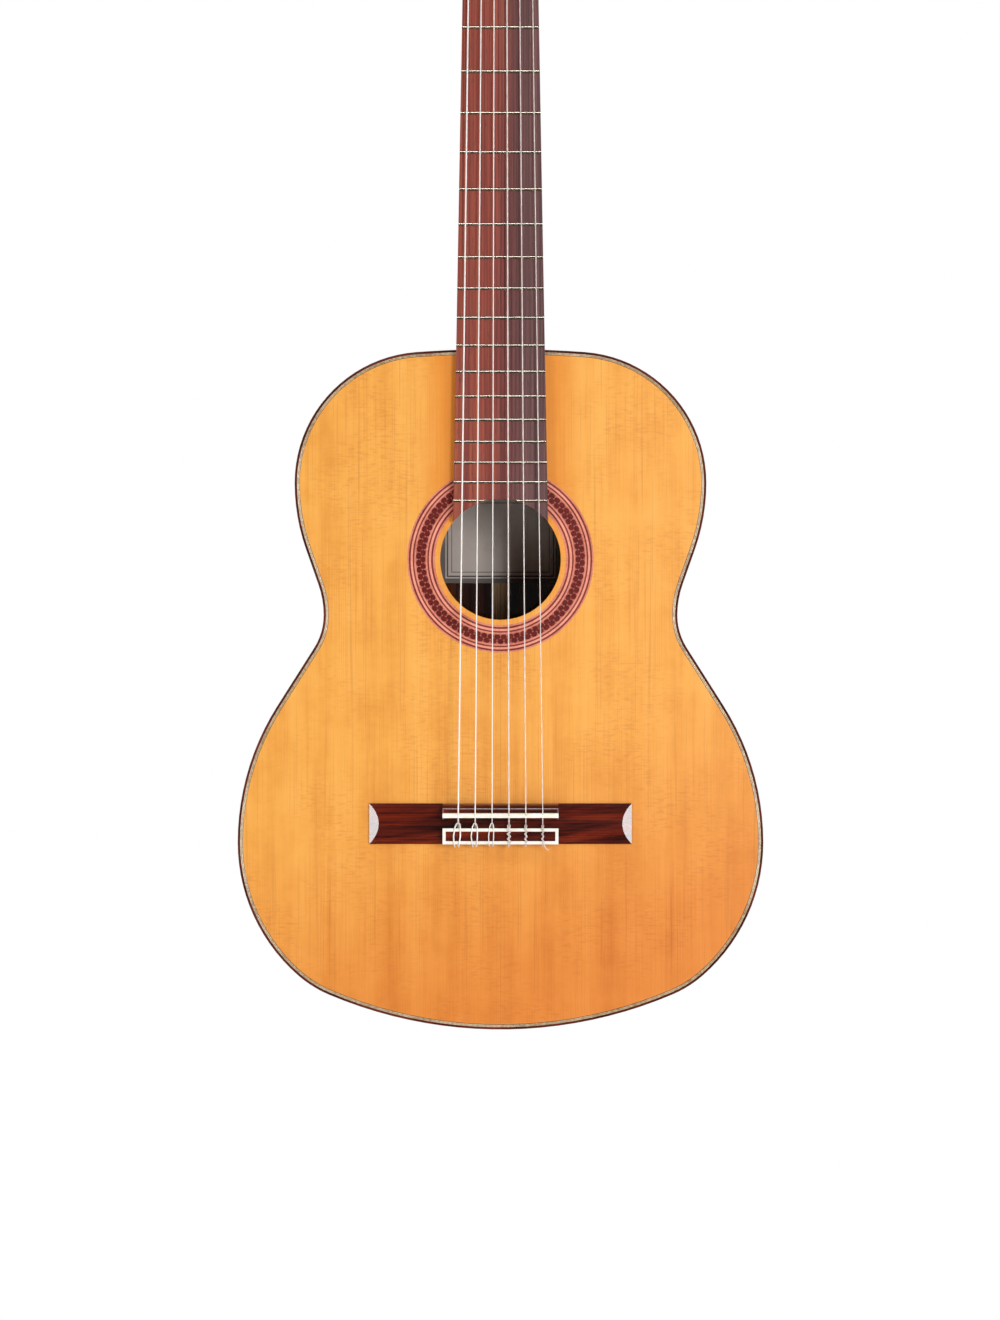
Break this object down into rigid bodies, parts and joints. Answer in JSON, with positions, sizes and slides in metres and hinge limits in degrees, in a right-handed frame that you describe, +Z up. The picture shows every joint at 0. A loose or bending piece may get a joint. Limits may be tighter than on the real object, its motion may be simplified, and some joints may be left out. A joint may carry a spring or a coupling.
{
  "type": "classical guitar",
  "caption": "Classical guitar with a cedar top, inlaid rosette, tied bridge and slotted head whose worm-geared tuning machines wind nylon strings.",
  "frame": {"origin": "on the centre line, in the plane of the soundboard's outer face, level with the nut's fingerboard side, where a yoke hanger holds the neck below the head", "axes": "+Z up the neck towards the head, -Y out of the soundboard towards the player's audience, +X towards the treble side"},
  "size_m": [0.3666, 0.115, 0.9834],
  "materials": {
    "cedar_top": "gloss lacquer",
    "rosette_mosaic": "gloss lacquer",
    "rosewood_binding": "gloss lacquer",
    "maple_purfling": "gloss lacquer",
    "rosewood_body": "gloss lacquer",
    "cedro_neck": "satin lacquer",
    "spruce_brace": "bare",
    "label_paper": "matte",
    "rosewood_board": "oiled",
    "rosewood_bridge": "polished",
    "fret_wire": "polished nickel silver",
    "bone": "polished bone",
    "gilt_brass": "polished",
    "capstan_plastic": "gloss",
    "pearl_button": "pearl gloss",
    "wound_string": "silver-plated winding",
    "nylon_string": "clear"
  },
  "bodies": {
    "guitar": {"soundboard": "cedar_top", "rosette": "rosette_mosaic", "top_binding": "rosewood_binding", "top_purfling": "maple_purfling", "back": "rosewood_body", "back_centre_inlay": "maple_purfling", "back_binding": "rosewood_binding", "end_graft": "rosewood_binding", "side_bass": "rosewood_body", "side_treble": "rosewood_body", "tail_block": "cedro_neck", "neck": "cedro_neck", "heel_cap": "rosewood_body", "linings": "spruce_brace", "harmonic_bars": "spruce_brace", "fan_braces": "spruce_brace", "back_braces": "spruce_brace", "back_seam_strip": "spruce_brace", "label": "label_paper", "fingerboard": "rosewood_board", "frets": "fret_wire", "nut": "bone", "bridge": "rosewood_bridge", "tie_block_trim": "bone", "saddle": "bone", "headstock": "cedro_neck", "head_veneer": "rosewood_board", "plate_screws": "gilt_brass", "tuner_plate_bass": "gilt_brass", "tuner_plate_treble": "gilt_brass", "string_1": "nylon_string", "string_2": "nylon_string", "string_3": "nylon_string", "string_4": "wound_string", "string_5": "wound_string", "string_6": "wound_string"},
    "tuner_1": {"worm_shaft_1": "gilt_brass", "button_1": "pearl_button"},
    "capstan_1": {"roller_1": "capstan_plastic", "gear_1": "gilt_brass"},
    "tuner_2": {"worm_shaft_2": "gilt_brass", "button_2": "pearl_button"},
    "capstan_2": {"roller_2": "capstan_plastic", "gear_2": "gilt_brass"},
    "tuner_3": {"worm_shaft_3": "gilt_brass", "button_3": "pearl_button"},
    "capstan_3": {"roller_3": "capstan_plastic", "gear_3": "gilt_brass"},
    "tuner_4": {"worm_shaft_4": "gilt_brass", "button_4": "pearl_button"},
    "capstan_4": {"roller_4": "capstan_plastic", "gear_4": "gilt_brass"},
    "tuner_5": {"worm_shaft_5": "gilt_brass", "button_5": "pearl_button"},
    "capstan_5": {"roller_5": "capstan_plastic", "gear_5": "gilt_brass"},
    "tuner_6": {"worm_shaft_6": "gilt_brass", "button_6": "pearl_button"},
    "capstan_6": {"roller_6": "capstan_plastic", "gear_6": "gilt_brass"}
  },
  "joints": [
    {"name": "tune_1", "type": "hinge", "parent": "guitar", "child": "tuner_1", "pos_m": [0.0412, 0.02507, 0.06815], "axis": [0, 0.9659, -0.2588], "continuous": true},
    {"name": "tune_2", "type": "hinge", "parent": "guitar", "child": "tuner_2", "pos_m": [0.0412, 0.03413, 0.10195], "axis": [0, 0.9659, -0.2588], "continuous": true},
    {"name": "tune_3", "type": "hinge", "parent": "guitar", "child": "tuner_3", "pos_m": [0.0412, 0.04319, 0.13576], "axis": [0, 0.9659, -0.2588], "continuous": true},
    {"name": "tune_4", "type": "hinge", "parent": "guitar", "child": "tuner_4", "pos_m": [-0.0412, 0.04319, 0.13576], "axis": [0, 0.9659, -0.2588], "continuous": true},
    {"name": "tune_5", "type": "hinge", "parent": "guitar", "child": "tuner_5", "pos_m": [-0.0412, 0.03413, 0.10195], "axis": [0, 0.9659, -0.2588], "continuous": true},
    {"name": "tune_6", "type": "hinge", "parent": "guitar", "child": "tuner_6", "pos_m": [-0.0412, 0.02507, 0.06815], "axis": [0, 0.9659, -0.2588], "continuous": true},
    {"name": "wind_1", "type": "hinge", "parent": "guitar", "child": "capstan_1", "pos_m": [0.0412, 0.02274, 0.05945], "axis": [1, 0, 0], "continuous": true},
    {"name": "wind_2", "type": "hinge", "parent": "guitar", "child": "capstan_2", "pos_m": [0.0412, 0.0318, 0.09326], "axis": [1, 0, 0], "continuous": true},
    {"name": "wind_3", "type": "hinge", "parent": "guitar", "child": "capstan_3", "pos_m": [0.0412, 0.04086, 0.12707], "axis": [1, 0, 0], "continuous": true},
    {"name": "wind_4", "type": "hinge", "parent": "guitar", "child": "capstan_4", "pos_m": [-0.0412, 0.04086, 0.12707], "axis": [1, 0, 0], "continuous": true},
    {"name": "wind_5", "type": "hinge", "parent": "guitar", "child": "capstan_5", "pos_m": [-0.0412, 0.0318, 0.09326], "axis": [1, 0, 0], "continuous": true},
    {"name": "wind_6", "type": "hinge", "parent": "guitar", "child": "capstan_6", "pos_m": [-0.0412, 0.02274, 0.05945], "axis": [1, 0, 0], "continuous": true}
  ],
  "couplings": [
    {"joint": "wind_1", "follows": "tune_1", "ratio": 0.071429},
    {"joint": "wind_2", "follows": "tune_2", "ratio": 0.071429},
    {"joint": "wind_3", "follows": "tune_3", "ratio": 0.071429},
    {"joint": "wind_4", "follows": "tune_4", "ratio": 0.071429},
    {"joint": "wind_5", "follows": "tune_5", "ratio": 0.071429},
    {"joint": "wind_6", "follows": "tune_6", "ratio": 0.071429}
  ]
}
